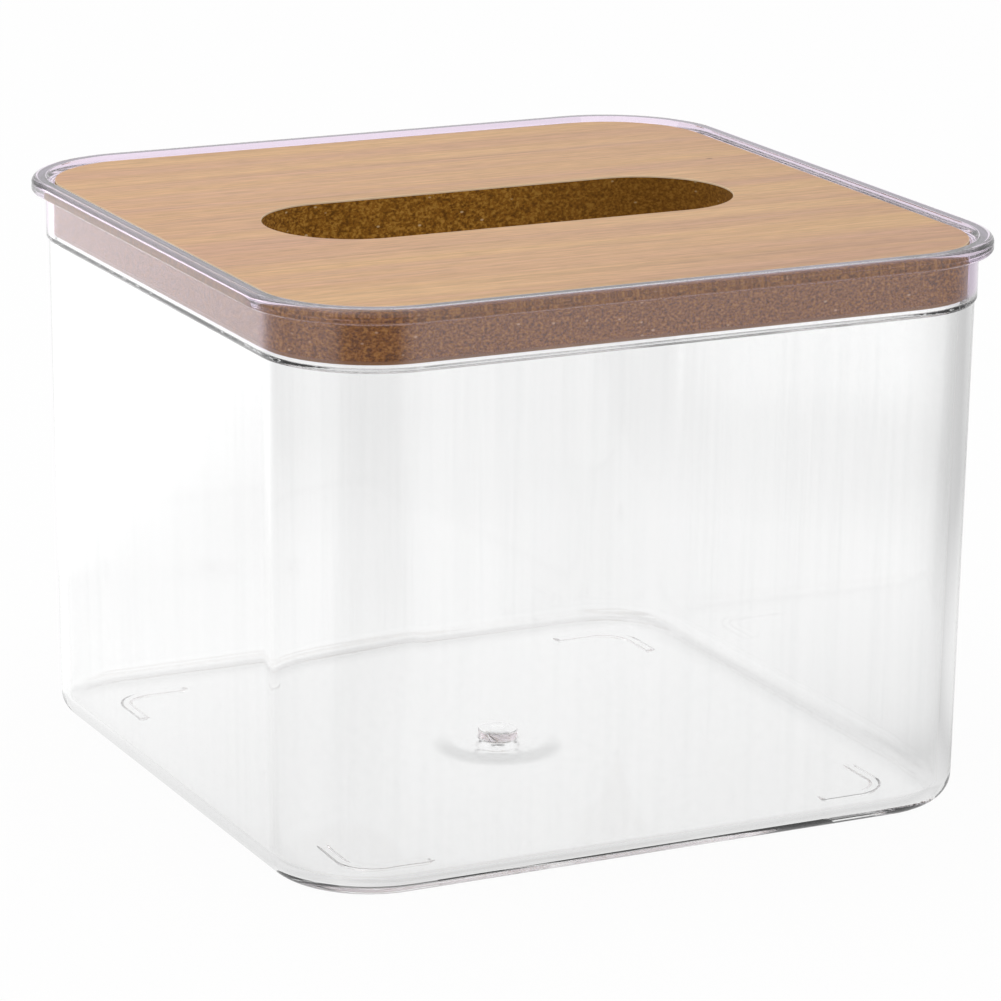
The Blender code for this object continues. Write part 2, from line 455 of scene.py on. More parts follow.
    def gate_top(self) -> np.ndarray:
        """Profile of the round boss in the floor, from the dimple in its top out to its root.

        Returns:
            Points as rows of radius and height.
        """
        top = self.floor_z + self.dome_height + self.boss_height
        root = self.floor_z + float(self.dome(np.array(self.boss_radius)))
        r, e, dip = self.boss_radius, self.boss_round, self.dimple_depth
        return np.vstack(
            [
                [[0.12 * r, top - dip], [0.2 * r, top - dip * 2 / 3], [0.3 * r, top], [0.6 * r, top]],
                arc((r - e, top - e), e, 90, 0, 5),
                arc((r + e, root + e), e, 180, 270, 4),
            ]
        )

    def skin(self) -> bpy.types.Object:
        """Joins floor, wall, lip, outer wall and underside rings into one closed skin.

        Returns:
            The moulding, with an attribute at 1 on the flat top of the lip, where the plastic is painted
            dark as shade, and 0 elsewhere.
        """
        base = self.wall_offset(self.base_z)
        floor = self.wall_offset(self.floor_z) - self.body_wall
        top_plan = self.floor_plan(self.neck_half + floor, self.floor_fillet)[::-1]
        top_z = self.floor_z + self.dome(np.linalg.norm(top_plan, axis=2))
        gate = self.gate_top()
        unit = top_plan[0] / np.linalg.norm(top_plan[0], axis=1)[:, None]
        gate_rings = np.array([level_ring(radius * unit, height) for radius, height in gate])
        under_plan = self.floor_plan(self.neck_half + base, self.base_fillet)
        under_z = self.base_z - self.rib_depth(under_plan)
        centre_rings = np.array([level_ring(s * self.boss_radius * unit, self.base_z) for s in (0.6, 0.3)])
        inner = self.wall_rings(self.inner_profile())
        rings = np.concatenate(
            [
                gate_rings,
                np.concatenate([top_plan, top_z[..., None]], axis=2)[:-1],
                inner,
                self.wall_rings(self.outer_profile()),
                np.concatenate([under_plan, under_z[..., None]], axis=2)[1:],
                centre_rings,
            ]
        )
        count, stations = rings.shape[:2]
        first = (len(gate_rings) + len(top_plan) - 1 + len(inner)) * stations
        # Marks the three rings of the lip's flat top, where the material paints shade.
        lip_crown_shade = np.zeros(count * stations + 2, np.float32)
        lip_crown_shade[first : first + 3 * stations] = 1.0
        points = rings.reshape(-1, 3)
        poles = np.array([[0.0, 0.0, gate[0, 1]], [0.0, 0.0, self.base_z]])
        i = np.arange(stations)
        following = (i + 1) % stations
        top_pole, under_pole = len(points), len(points) + 1
        last = (count - 1) * stations
        fans = np.vstack(
            [
                np.stack([np.full(stations, top_pole), i, following], axis=1),
                np.stack([np.full(stations, under_pole), last + following, last + i], axis=1),
            ]
        )
        faces = ring_faces(count, stations, closed=False).tolist() + fans.tolist()
        piece = skin_object("box_moulding", np.vstack([points, poles]), faces)
        piece.data.attributes.new("lip_crown_shade", "FLOAT", "POINT").data.foreach_set("value", lip_crown_shade)
        return piece

    def build(self) -> None:
        """Makes the moulding and dresses it in clear plastic."""
        dress(self.skin(), ClearPlastic(), Body.BOX, "clear_box")


@dataclass(frozen=True)
class Layer:
    """One bonded layer of the board: its names, its finish, its heights and the radii of its edges."""

    name: str
    node: str
    slot: str
    finish: Finish
    bottom: float
    top: float
    top_round: float
    low_round: float


@dataclass
class LidBoard:
    """The lift-out board: three bonded layers of one outline, each with the same long slot."""

    half: float
    corner_radius: float = 17.1 * MM
    slot_half_length: float = 42.0 * MM
    slot_half_width: float = 14.75 * MM
    hold: float = 0.05 * MM
    count: int = 256
    across: int = 8

    @staticmethod
    def outline(half_x: float, half_y: float, radius: float, count: int) -> tuple[np.ndarray, np.ndarray]:
        """Points at even arc length round a rounded rectangle, with their outward normals.

        In the first quarter the way runs up the side, round the corner and back along the top. The
        other quarters repeat it, mirrored.

        Args:
            half_x: Half the length.
            half_y: Half the width.
            radius: Corner radius, which makes a stadium when it is half the width.
            count: How many points the whole outline has.

        Returns:
            The points and the normals, anticlockwise from the middle of the +X side.
        """
        rise, flat = half_y - radius, half_x - radius
        turn = radius * math.pi / 2
        length = rise + turn + flat
        way = np.linspace(0.0, length, count // 4 + 1)
        angle = np.clip((way - rise) / radius, 0.0, math.pi / 2)
        normal = np.stack([np.cos(angle), np.sin(angle)], axis=1)
        core = np.stack([flat - np.clip(way - rise - turn, 0.0, flat), np.clip(way, 0.0, rise)], axis=1)
        first = core + radius * normal
        mirror = np.array([-1.0, 1.0])
        upper = np.vstack([first, first[-2::-1] * mirror])
        upper_normal = np.vstack([normal, normal[-2::-1] * mirror])
        return np.vstack([upper, -upper[1:-1]]), np.vstack([upper_normal, -upper_normal[1:-1]])

    def section(self, layer: Layer) -> list[tuple[Edge, float, float]]:
        """The closed cross-section of a layer, from the rim's top over the underside to the slot's top.

        Args:
            layer: The layer.

        Returns:
            Outline, offset outwards from it, and height of each ring.
        """
        high, low, hold = layer.top_round, layer.low_round, self.hold
        over = arc((-high, layer.top - high), high, 90, 0, 4)
        under = arc((-low, layer.bottom + low), low, 0, -90, 3)
        rim = [(Edge.RIM, -high - hold, layer.top)]
        rim += [(Edge.RIM, x, z) for x, z in over]
        rim += [(Edge.RIM, 0.0, layer.top - high - hold), (Edge.RIM, 0.0, layer.bottom + low + hold)]
        rim += [(Edge.RIM, x, z) for x, z in under]
        rim += [(Edge.RIM, -low - hold, layer.bottom)]
        return rim + [(Edge.SLOT, -x, z) for _, x, z in reversed(rim)]

    def skin(self, layer: Layer) -> bpy.types.Object:
        """Carries a layer's cross-section round both outlines: a ring is outline plus offset times normal.

        Args:
            layer: The layer.

        Returns:
            The layer's piece, with the attribute edge at 1 on its rounded edges and 0 elsewhere.
        """
        wide, deep = self.slot_half_length, self.slot_half_width
        plans = {
            Edge.RIM: self.outline(self.half, self.half, self.corner_radius, self.count),
            Edge.SLOT: self.outline(wide, deep, deep, self.count),
        }
        section = self.section(layer)
        rings = [
            level_ring(plans[edge][0] + offset * plans[edge][1], height) for edge, offset, height in section
        ]
        worn = [float(abs(offset) < layer.top_round * 0.95) for _, offset, _ in section]
        share = np.linspace(0.0, 1.0, self.across + 1)[1:-1, None, None]
        half = len(section) // 2
        under = rings[half - 1] + share * (rings[half] - rings[half - 1])
        over = rings[-1] + share * (rings[0] - rings[-1])
        stack = np.concatenate([rings[:half], under, rings[half:], over])
        worn = worn[:half] + [0.0] * len(under) + worn[half:] + [0.0] * len(over)
        faces = ring_faces(len(stack), self.count, closed=True).tolist()
        piece = skin_object(layer.name, stack.reshape(-1, 3), faces)
        edge = piece.data.attributes.new("edge", "FLOAT", "POINT")
        edge.data.foreach_set("value", np.repeat(np.array(worn, np.float32), self.count))
        return piece

    def build(self, layers: tuple[Layer, ...]) -> None:
        """Makes each layer and dresses it in its own finish."""
        for layer in layers:
            dress(self.skin(layer), layer.finish, Body.LID, layer.node)


class NodeSheet:
    """The node tree of one material, with short calls that add and join nodes."""

    def __init__(self, name: str) -> None:
        """Starts an empty material.

        Args:
            name: Name of the material.
        """
        self.material = bpy.data.materials.new(name)
        self.material.use_nodes = True
        self.tree = self.material.node_tree
        self.tree.nodes.clear()
        self.output = self.add("ShaderNodeOutputMaterial")

    @classmethod
    def of_tree(cls, tree: bpy.types.NodeTree) -> "NodeSheet":
        """Gives the same short calls to a node tree that is there already.

        Args:
            tree: The node tree.

        Returns:
            A sheet on that tree, without a material of its own.
        """
        sheet = cls.__new__(cls)
        sheet.tree = tree
        return sheet

    def add(self, kind: str, **values: object) -> bpy.types.Node:
        """Adds a node.

        Args:
            kind: Blender's name for the node's type.
            **values: Settings of the node, or sources or values of its inputs, with spaces as underscores.

        Returns:
            The new node.
        """
        node = self.tree.nodes.new(kind)
        for key, value in values.items():
            if hasattr(node, key):
                setattr(node, key, value)
            else:
                self.feed(value, node.inputs[key.replace("_", " ")])
        return node

    def feed(self, value: object, target: Socket) -> None:
        """Links a socket to an input, or sets the input's own value.

        Args:
            value: Socket, or value for the input.
            target: The input.
        """
        if isinstance(value, Socket):
            self.tree.links.new(value, target)
        else:
            target.default_value = value

    def finished(self, shader: bpy.types.Node) -> bpy.types.Material:
        """Puts the shader on the surface and gives the finished material."""
        self.feed(shader.outputs[0], self.output.inputs["Surface"])
        return self.material

    def place(self) -> Socket:
        """The point's own place on the object."""
        return self.add("ShaderNodeTexCoord").outputs["Object"]

    def parts(self, place: Socket) -> tuple[Socket, Socket, Socket]:
        """The X, Y and Z of a place or a direction."""
        return tuple(self.add("ShaderNodeSeparateXYZ", Vector=place).outputs)

    def distance(self, place: Socket, point: Triple) -> Socket:
        """How far a place is from a point.

        Args:
            place: The place.
            point: The point.

        Returns:
            The distance.
        """
        node = self.add("ShaderNodeVectorMath", operation="DISTANCE")
        self.feed(place, node.inputs[0])
        self.feed(point, node.inputs[1])
        return node.outputs["Value"]

    def grey(self, value: Socket) -> Socket:
        """A value as a grey colour."""
        return self.add("ShaderNodeCombineColor", Red=value, Green=value, Blue=value).outputs["Color"]

    def attribute(self, name: str) -> Socket:
        """The value that the mesh keeps under this name."""
        return self.add("ShaderNodeAttribute", attribute_name=name).outputs["Fac"]

    def stretched(self, place: Socket, per_metre: Triple) -> Socket:
        """The place with each axis scaled, so that a pattern has that many spots to the metre."""
        return self.add("ShaderNodeMapping", Scale=per_metre, Vector=place).outputs["Vector"]

    def noise(self, place: Socket, per_metre: Triple, detail: float, roughness: float = 0.5) -> Socket:
        """Cloudy values round one half.

        Args:
            place: Where the pattern is read.
            per_metre: Spots to the metre along each axis.
            detail: How many finer layers are added.
            roughness: How strong each finer layer is.

        Returns:
            The value, about 0.3 to 0.7.
        """
        spread = self.stretched(place, per_metre)
        node = self.add("ShaderNodeTexNoise", Scale=1.0, Detail=detail, Roughness=roughness, Vector=spread)
        return node.outputs["Fac"]

    def math(self, operation: str, first: object, second: object = 0.0) -> Socket:
        """One sum on two values or sockets.

        Args:
            operation: Blender's name for the sum.
            first: First value or socket.
            second: Second value or socket, where the sum takes two.

        Returns:
            The result.
        """
        node = self.add("ShaderNodeMath", operation=operation)
        self.feed(first, node.inputs[0])
        self.feed(second, node.inputs[1])
        return node.outputs["Value"]

    def product(self, *factors: object) -> Socket:
        """All the factors multiplied together.

        Args:
            *factors: Values or sockets.

        Returns:
            The product.
        """
        result = factors[0]
        for factor in factors[1:]:
            result = self.math("MULTIPLY", result, factor)
        return result

    def ranged(self, value: Socket, low: float, high: float, to: Pair) -> Socket:
        """Maps a value from one range to another, kept inside it."""
        ends = {"From_Min": low, "From_Max": high, "To_Min": to[0], "To_Max": to[1]}
        return self.add("ShaderNodeMapRange", Value=value, **ends).outputs["Result"]

    def ramp(self, value: Socket, stops: list[tuple[float, Triple]]) -> Socket:
        """Colours a value by stops.

        Args:
            value: The value, from 0 to 1.
            stops: Place and colour of each stop, in rising order.

        Returns:
            The colour.
        """
        node = self.add("ShaderNodeValToRGB", Fac=value)
        elements = node.color_ramp.elements
        elements.remove(elements[1])
        elements[0].position = stops[0][0]
        elements[0].color = (*stops[0][1], 1.0)
        for place, colour in stops[1:]:
            elements.new(place).color = (*colour, 1.0)
        return node.outputs["Color"]

    def tint(self, mode: str, share: object, base: Socket, over: object) -> Socket:
        """Mixes two colours.

        Args:
            mode: Blender's blend type.
            share: Socket or number that says how much of the second shows.
            base: First colour.
            over: Second colour, a socket or three numbers.

        Returns:
            The mixed colour's socket.
        """
        node = self.add("ShaderNodeMix", data_type="RGBA", blend_type=mode)
        self.feed(share, node.inputs[0])
        self.feed(base, node.inputs[6])
        self.feed(over if isinstance(over, Socket) else (*over, 1.0), node.inputs[7])
        return node.outputs[2]

    def blend(self, first: Socket, second: Socket, share: Socket) -> Socket:
        """Goes from the first value to the second by the share."""
        return self.math("ADD", first, self.product(self.math("SUBTRACT", second, first), share))

    def bump(self, height: Socket, strength: float, distance: float) -> Socket:
        """A normal that leans with a height pattern."""
        node = self.add("ShaderNodeBump", Height=height, Strength=strength, Distance=distance)
        return node.outputs["Normal"]


@dataclass(frozen=True)
class ClearPlastic:
    """Polished clear moulding, lilac where it is thick at the lip, with the faint marks of a thin wall and
    painted shade, nearly black, on the flat top of the lip.
    """

    body: Triple = (0.972, 0.973, 0.973)
    streak: Triple = (0.94, 0.943, 0.943)
    lip: Triple = (0.92, 0.79, 0.94)
    # Painted shade: the nearly black base colour of the lip's flat top.
    lip_crown_shade: Triple = (0.03, 0.02, 0.04)
    passing: Triple = (0.97, 0.97, 0.975)
    lip_from: float = 86.7 * MM
    lip_fade: float = 0.5 * MM
    bend: float = 1.57
    wave: float = 0.02 * MM
    streak_spots: Triple = (420.0, 420.0, 9.0)
    scuff_spots: Triple = (900.0, 900.0, 120.0)
    wave_spots: Triple = (45.0, 45.0, 12.0)
    scuffed: Pair = (0.0, 0.06)

    def material(self) -> bpy.types.Material:
        """Bends and mirrors light for sight, and lets lamp and bounced light straight through.

        Returns:
            The material.
        """
        sheet = NodeSheet("clear_plastic")
        place = sheet.place()
        high = sheet.ranged(sheet.parts(place)[2], self.lip_from, self.lip_from + self.lip_fade, (0.0, 1.0))
        streaks = sheet.noise(place, self.streak_spots, 4.0, 0.6)
        body = sheet.ramp(streaks, [(0.5, self.body), (0.68, self.streak)])
        tinted = sheet.tint("MIX", high, body, self.lip)
        scuffs = sheet.noise(place, self.scuff_spots, 4.0, 0.6)
        waves = sheet.noise(place, self.wave_spots, 2.0)
        shader = sheet.add(
            "ShaderNodeBsdfPrincipled",
            IOR=self.bend,
            Transmission_Weight=1.0,
            # Painted shade: the lip's flat top gets a nearly black base colour in place of the dark seen
            # through it.
            Base_Color=sheet.tint("MIX", sheet.attribute("lip_crown_shade"), tinted, self.lip_crown_shade),
            Roughness=sheet.ranged(scuffs, 0.55, 0.8, self.scuffed),
            Normal=sheet.bump(waves, 0.5, self.wave),
        )
        through = sheet.add("ShaderNodeBsdfTransparent", Color=(*self.passing, 1.0))
        path = sheet.add("ShaderNodeLightPath")
        mix = sheet.add("ShaderNodeMixShader")
        unseen = sheet.math("MAXIMUM", path.outputs["Is Shadow Ray"], path.outputs["Is Diffuse Ray"])
        for source, target in zip((unseen, shader.outputs[0], through.outputs[0]), mix.inputs):
            sheet.feed(source, target)
        return sheet.finished(mix)


@dataclass(frozen=True)
class WoodFace:
    """Pale straight-grained wood: bands, streaks along X, dark pores, one speck, paler edges and a painted
    light falloff.
    """

    rose: Triple = (0.578, 0.328, 0.199)
    tan: Triple = (0.612, 0.357, 0.190)
    straw: Triple = (0.655, 0.396, 0.194)
    edge: Triple = (0.84, 0.66, 0.44)
    speck: Triple = (0.16, 0.09, 0.05)
    speck_at: Triple = (51.5 * MM, 22.0 * MM, 95.3 * MM)
    speck_edge: Pair = (0.15 * MM, 0.45 * MM)
    wander: float = 5.0 * MM
    wander_spots: Triple = (8.0, 30.0, 1.0)
    band_spots: Triple = (6.0, 110.0, 1.0)
    streak_spots: Triple = (16.0, 1100.0, 1.0)
    dash_spots: Triple = (180.0, 1300.0, 1.0)
    pore_spots: Triple = (230.0, 4300.0, 1.0)
    line_spots: Triple = (3.0, 170.0, 1.0)
    streak_shades: Pair = (0.91, 1.08)
    dash_shades: Pair = (0.88, 1.12)
    # Painted shade across the face, from light at the left to dark at the right.
    painted_falloff_shades: Pair = (1.08, 0.905)
    line_shade: float = 0.89
    line_width: float = 0.018
    pore_shade: float = 0.78
    pore_edge: Pair = (0.62, 0.72)

    def material(self) -> bpy.types.Material:
        """Wanders the grain a little, then lays bands, streaks, dashes, lines, pores and painted shade over
        each other.

        Returns:
            The material.
        """
        sheet = NodeSheet("wood_face")
        place = sheet.place()
        wander = sheet.math("SUBTRACT", sheet.noise(place, self.wander_spots, 2.0), 0.5)
        shift = sheet.add("ShaderNodeCombineXYZ", Y=sheet.product(wander, self.wander))
        moved = sheet.add("ShaderNodeVectorMath", operation="ADD")
        sheet.feed(place, moved.inputs[0])
        sheet.feed(shift.outputs[0], moved.inputs[1])
        grain = moved.outputs[0]
        bands = sheet.noise(grain, self.band_spots, 3.0)
        streaks = sheet.noise(grain, self.streak_spots, 5.0, 0.65)
        dashes = sheet.noise(grain, self.dash_spots, 3.0, 0.6)
        pores = sheet.noise(place, self.pore_spots, 2.0)
        off_line = sheet.math("SUBTRACT", sheet.noise(grain, self.line_spots, 1.0), 0.5)
        x, y, _ = sheet.parts(place)
        # Painted light falloff: lighter towards the left and back, darker towards the right and front.
        across = sheet.math("SUBTRACT", x, sheet.product(y, 0.2))
        shade = sheet.product(
            sheet.ranged(streaks, 0.3, 0.7, self.streak_shades),
            sheet.ranged(dashes, 0.3, 0.7, self.dash_shades),
            sheet.ranged(sheet.math("ABSOLUTE", off_line), 0.0, self.line_width, (self.line_shade, 1.0)),
            sheet.ranged(across, -0.1, 0.1, self.painted_falloff_shades),
            sheet.ranged(pores, *self.pore_edge, (1.0, self.pore_shade)),
        )
        colour = sheet.ramp(bands, [(0.36, self.rose), (0.5, self.tan), (0.62, self.straw)])
        colour = sheet.tint("MULTIPLY", 1.0, colour, sheet.grey(shade))
        colour = sheet.tint("MIX", sheet.product(sheet.attribute("edge"), 0.75), colour, self.edge)
        longwise = (0.5, 1.0, 1.0)
        speck_at = tuple(part * scale for part, scale in zip(self.speck_at, longwise))
        away = sheet.distance(sheet.stretched(place, longwise), speck_at)
        colour = sheet.tint("MIX", sheet.ranged(away, *self.speck_edge, (0.8, 0.0)), colour, self.speck)
        relief = sheet.math("SUBTRACT", streaks, sheet.ranged(pores, *self.pore_edge, (0.0, 0.6)))
        shader = sheet.add(
            "ShaderNodeBsdfPrincipled",
            Specular_IOR_Level=0.35,
            Base_Color=colour,
            Roughness=sheet.ranged(streaks, 0.3, 0.7, (0.58, 0.46)),
            Normal=sheet.bump(relief, 0.35, 0.05 * MM),
        )
        return sheet.finished(shader)


@dataclass(frozen=True)
class FibreBoard:
    """Raw cut fibre board: matted brown fibres with dark pits and pale chips, and painted shade at the
    slot's right end.
    """

    dark: Triple = (0.13, 0.050, 0.003)
    brown: Triple = (0.28, 0.114, 0.009)
    pale: Triple = (0.47, 0.228, 0.036)
    chip: Triple = (0.70, 0.50, 0.26)
    clump_spots: Triple = (900.0, 900.0, 1300.0)
    fibre_spots: Triple = (2000.0, 2000.0, 2600.0)
    chip_spots: Triple = (520.0, 520.0, 900.0)
    clump_share: float = 0.3
    chip_edge: Pair = (0.10, 0.2)
    chip_from: Pair = (0.82, 0.84)
    # Painted shade: where it lies inside the slot, how far right it reaches and how dark it gets.
    shade_slot_edge: Pair = (16.0 * MM, 18.0 * MM)
    painted_shade_end: float = 36.0 * MM
    painted_shade_share: float = 0.55

    def material(self) -> bpy.types.Material:
        """Mixes clumps at two sizes, scatters pale chips over them and paints shade over the slot's right
        end.

        Returns:
            The material.
        """
        sheet = NodeSheet("fibre_board")
        place = sheet.place()
        clumps = sheet.noise(place, self.clump_spots, 2.0, 0.5)
        fibres = sheet.noise(place, self.fibre_spots, 2.0, 0.6)
        mixed = sheet.math(
            "ADD",
            sheet.product(clumps, self.clump_share),
            sheet.product(fibres, 1.0 - self.clump_share),
        )
        colour = sheet.ramp(mixed, [(0.38, self.dark), (0.5, self.brown), (0.62, self.pale)])
        spread = sheet.stretched(place, self.chip_spots)
        cells = sheet.add("ShaderNodeTexVoronoi", Scale=1.0, Vector=spread)
        near = sheet.ranged(cells.outputs["Distance"], *self.chip_edge, (1.0, 0.0))
        kind = sheet.add("ShaderNodeSeparateColor", Color=cells.outputs["Color"])
        chosen = sheet.ranged(kind.outputs[0], *self.chip_from, (0.0, 0.8))
        colour = sheet.tint("MIX", sheet.product(near, chosen), colour, self.chip)
        x, y, _ = sheet.parts(place)
        # Painted shade: inside the slot, the wall darkens towards its right end, where less light reaches.
        inner = sheet.ranged(sheet.math("ABSOLUTE", y), *self.shade_slot_edge, (1.0, 0.0))
        right = sheet.ranged(x, 0.0, self.painted_shade_end, (0.0, self.painted_shade_share))
        shader = sheet.add(
            "ShaderNodeBsdfPrincipled",
            Roughness=0.9,
            Specular_IOR_Level=0.2,
            Base_Color=sheet.tint("MIX", sheet.product(inner, right), colour, self.dark),
            Normal=sheet.bump(mixed, 0.6, 0.15 * MM),
        )
        return sheet.finished(shader)


@dataclass(frozen=True)
class BackingSheet:
    """Plain brown backing under the board: even, with a soft mottle."""

    low: Triple = (0.25, 0.115, 0.025)
    high: Triple = (0.34, 0.17, 0.05)
    mottle_spots: Triple = (150.0, 420.0, 150.0)

    def material(self) -> bpy.types.Material:
        """Mottles two close browns and roughens the sheet a little.

        Returns:
            The material.
        """
        sheet = NodeSheet("backing_sheet")
        mottle = sheet.noise(sheet.place(), self.mottle_spots, 4.0, 0.6)
        shader = sheet.add(
            "ShaderNodeBsdfPrincipled",
            Specular_IOR_Level=0.25,
            Base_Color=sheet.ramp(mottle, [(0.35, self.low), (0.65, self.high)]),
            Roughness=sheet.ranged(mottle, 0.3, 0.7, (0.6, 0.75)),
            Normal=sheet.bump(mottle, 0.3, 0.05 * MM),
        )
        return sheet.finished(shader)


@dataclass(frozen=True)
class Surroundings:
    """How bright the studio looks from the object, by the way it is seen in.

    The table's glow and the air are painted brighter where two soft lights would stand, behind on the left
    and in front on the right. Between them the side of the camera is painted dark. A level is a bearing
    in degrees with the brightness there: near the box and far from it on the table, and in the air above
    it.
    """

    near: Levels = (
        (0, 0.88), (15, 0.92), (30, 0.96), (58, 0.92), (66, 0.98), (95, 1.01), (115, 1.04), (130, 1.04),
        (145, 1.00), (165, 0.90), (185, 0.83), (208, 0.80), (222, 0.58), (235, 0.60), (247, 0.85),
        (262, 1.09), (285, 1.05), (303, 1.02), (318, 0.82), (335, 0.65), (348, 0.82), (360, 0.88),
    )
    far: Levels = (
        (0, 0.65), (15, 0.57), (30, 0.76), (50, 0.85), (66, 0.93), (84, 0.89), (95, 1.04), (108, 1.60),
        (114, 1.90), (124, 1.55), (135, 0.98), (144, 0.75), (165, 0.80), (185, 1.05), (205, 1.10),
        (213, 0.95), (222, 0.40), (250, 0.28), (264, 0.34), (276, 1.00), (286, 1.22), (304, 1.18),
        (318, 1.00), (332, 0.72), (346, 0.62), (360, 0.65),
    )
    air: Levels = (
        (0, 1.03), (35, 0.99), (52, 1.01), (66, 1.07), (80, 0.88), (97, 0.88), (127, 1.02), (160, 1.08),
        (197, 1.20), (217, 1.10), (250, 0.92), (265, 0.90), (292, 1.17), (322, 1.09), (360, 1.03),
    )
    half: float = 60.0 * MM
    under_front: float = 0.83
    under_back: float = 0.925
    under_left: float = 1.05
    near_to: float = 70.0 * MM
    far_from: float = 160.0 * MM
    under_fade: float = 3.0 * MM
    rim_shade: float = 0.85
    rim_inset: float = 2.0 * MM
    rim_fade: float = 5.0 * MM
    gate_shade: float = 0.70
    gate_edge: Pair = (8.0 * MM, 11.5 * MM)
    gate_clear: Triple = (2.2 * MM, 4.5 * MM, 0.0)

    def by_bearing(self, sheet: NodeSheet, way: Socket, levels: Levels) -> Socket:
        """Brightness for the level bearing of a direction, anticlockwise from +X.

        Args:
            sheet: Node tree to build in.
            way: Direction, or place as seen from the middle of the object.
            levels: Bearings in degrees with the brightness at each.

        Returns:
            The brightness.
        """
        x, y, _ = sheet.parts(way)
        turns = sheet.math("DIVIDE", sheet.math("ARCTAN2", y, x), 2.0 * math.pi)
        share = sheet.math("FRACT", sheet.math("ADD", turns, 1.0))
        stops = [(bearing / 360.0, (0.5 * level,) * 3) for bearing, level in levels]
        return sheet.product(sheet.ramp(share, stops), 2.0)

    def on_table(self, sheet: NodeSheet, place: Socket) -> Socket:
        """Brightness of the table: dim under the box, then by bearing, near it and farther out.

        Args:
            sheet: Node tree to build in.
            place: Place on the table.

        Returns:
            The brightness.
        """
        x, y, _ = sheet.parts(place)
        sides = [sheet.math("ABSOLUTE", part) for part in (x, y)]
        past = [sheet.math("MAXIMUM", sheet.math("SUBTRACT", side, self.half), 0.0) for side in sides]
        out = sheet.add("ShaderNodeCombineXYZ", X=past[0], Y=past[1])
        away = sheet.distance(out.outputs[0], (0.0, 0.0, 0.0))
        under = sheet.product(
            sheet.ranged(y, -self.half, self.half, (self.under_front, self.under_back)),
            sheet.ranged(x, -self.half, -0.3 * self.half, (self.under_left, 1.0)),
        )
        near = self.by_bearing(sheet, place, self.near)
        far = self.by_bearing(sheet, place, self.far)
        beside = sheet.blend(near, far, sheet.ranged(away, self.near_to, self.far_from, (0.0, 1.0)))
        level = sheet.blend(under, beside, sheet.ranged(away, 0.0, self.under_fade, (0.0, 1.0)))
        return sheet.product(level, self.rim_share(sheet, sides), self.gate_share(sheet, place))

    def rim_share(self, sheet: NodeSheet, sides: list[Socket]) -> Socket:
        """Share of light left in the soft shade under the rim of the base.

        The shade follows the greater of the two distances from the middle lines.

        Args:
            sheet: Node tree to build in.
            sides: The two distances from the middle lines.

        Returns:
            The share, 1 where there is no shade.
        """
        past = sheet.math("SUBTRACT", sheet.math("MAXIMUM", *sides), self.half - self.rim_inset)
        return sheet.ranged(sheet.math("ABSOLUTE", past), 0.0, self.rim_fade, (self.rim_shade, 1.0))

    def gate_share(self, sheet: NodeSheet, place: Socket) -> Socket:
        """Share of light left in the crescent of shade before the gate.

        The crescent is the part of a soft disc that a second disc, farther back, leaves free.

        Args:
            sheet: Node tree to build in.
            place: Place on the table.

        Returns:
            The share, 1 where there is no shade.
        """
        first = sheet.ranged(sheet.distance(place, (0.0, 0.0, 0.0)), *self.gate_edge, (1.0, 0.0))
        second = sheet.ranged(sheet.distance(place, self.gate_clear), *self.gate_edge, (0.0, 1.0))
        return sheet.ranged(sheet.product(first, second), 0.0, 0.6, (1.0, self.gate_shade))


